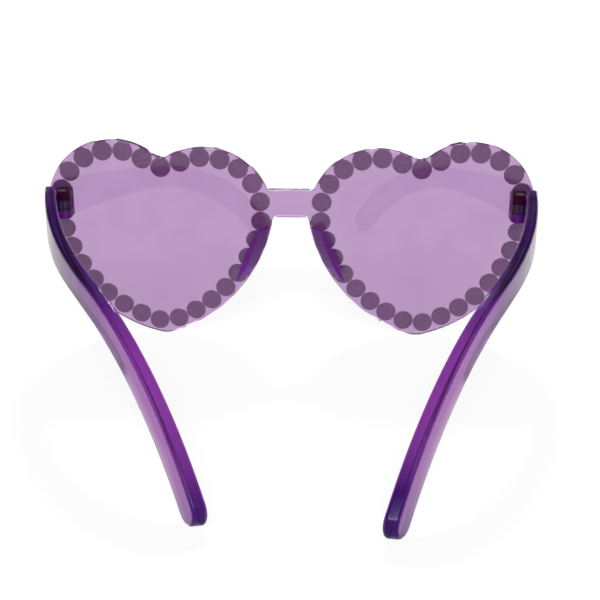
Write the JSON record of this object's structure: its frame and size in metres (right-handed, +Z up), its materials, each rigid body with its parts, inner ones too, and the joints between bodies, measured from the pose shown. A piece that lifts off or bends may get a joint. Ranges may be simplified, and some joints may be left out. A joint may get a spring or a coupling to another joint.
{
  "type": "heart shaped sunglasses",
  "caption": "Heart shaped sunglasses: a clear purple sheet front rimmed with half pearls, bonded nose pads and curved folding side arms.",
  "frame": {"origin": "middle of the bridge's back face", "axes": "+X to the wearer's right along the front, +Y forward out of the front, +Z up"},
  "size_m": [0.146, 0.1227, 0.0612],
  "materials": {
    "lens_plastic": "clear purple sheet, polished",
    "moulded_plastic": "clear purple moulding, polished",
    "temple_plastic": "clear purple moulding, polished",
    "screw_steel": "plain steel",
    "pearl": "pearl lacquer"
  },
  "bodies": {
    "front": {"front_lens": "lens_plastic", "left_nose_pad": "moulded_plastic", "left_hinge_block": "moulded_plastic", "left_hinge_screw": "screw_steel", "right_nose_pad": "moulded_plastic", "right_hinge_block": "moulded_plastic", "right_hinge_screw": "screw_steel", "pearl_pair_01": "pearl", "pearl_pair_02": "pearl", "pearl_pair_03": "pearl", "pearl_pair_04": "pearl", "pearl_pair_05": "pearl", "pearl_pair_06": "pearl", "pearl_pair_07": "pearl", "pearl_pair_08": "pearl", "pearl_pair_09": "pearl", "pearl_pair_10": "pearl", "pearl_pair_11": "pearl", "pearl_pair_12": "pearl", "pearl_pair_13": "pearl", "pearl_pair_14": "pearl", "pearl_pair_15": "pearl", "pearl_pair_16": "pearl", "pearl_pair_17": "pearl", "pearl_pair_18": "pearl", "pearl_pair_19": "pearl", "pearl_pair_20": "pearl", "pearl_pair_21": "pearl", "pearl_pair_22": "pearl", "pearl_pair_23": "pearl", "pearl_pair_24": "pearl", "pearl_pair_25": "pearl", "pearl_pair_26": "pearl", "pearl_pair_27": "pearl", "pearl_pair_28": "pearl", "pearl_pair_29": "pearl", "pearl_pair_30": "pearl"},
    "left_arm": {"left_temple": "temple_plastic"},
    "right_arm": {"right_temple": "temple_plastic"}
  },
  "joints": [
    {"name": "left_hinge", "type": "hinge", "parent": "front", "child": "left_arm", "pos_m": [-0.0676, -0.004, 0.0004], "axis": [0, 0, 1], "range_deg": [-12, 63]},
    {"name": "right_hinge", "type": "hinge", "parent": "front", "child": "right_arm", "pos_m": [0.0676, -0.004, 0.0004], "axis": [0, 0, -1], "range_deg": [-7.3, 58.7]}
  ]
}
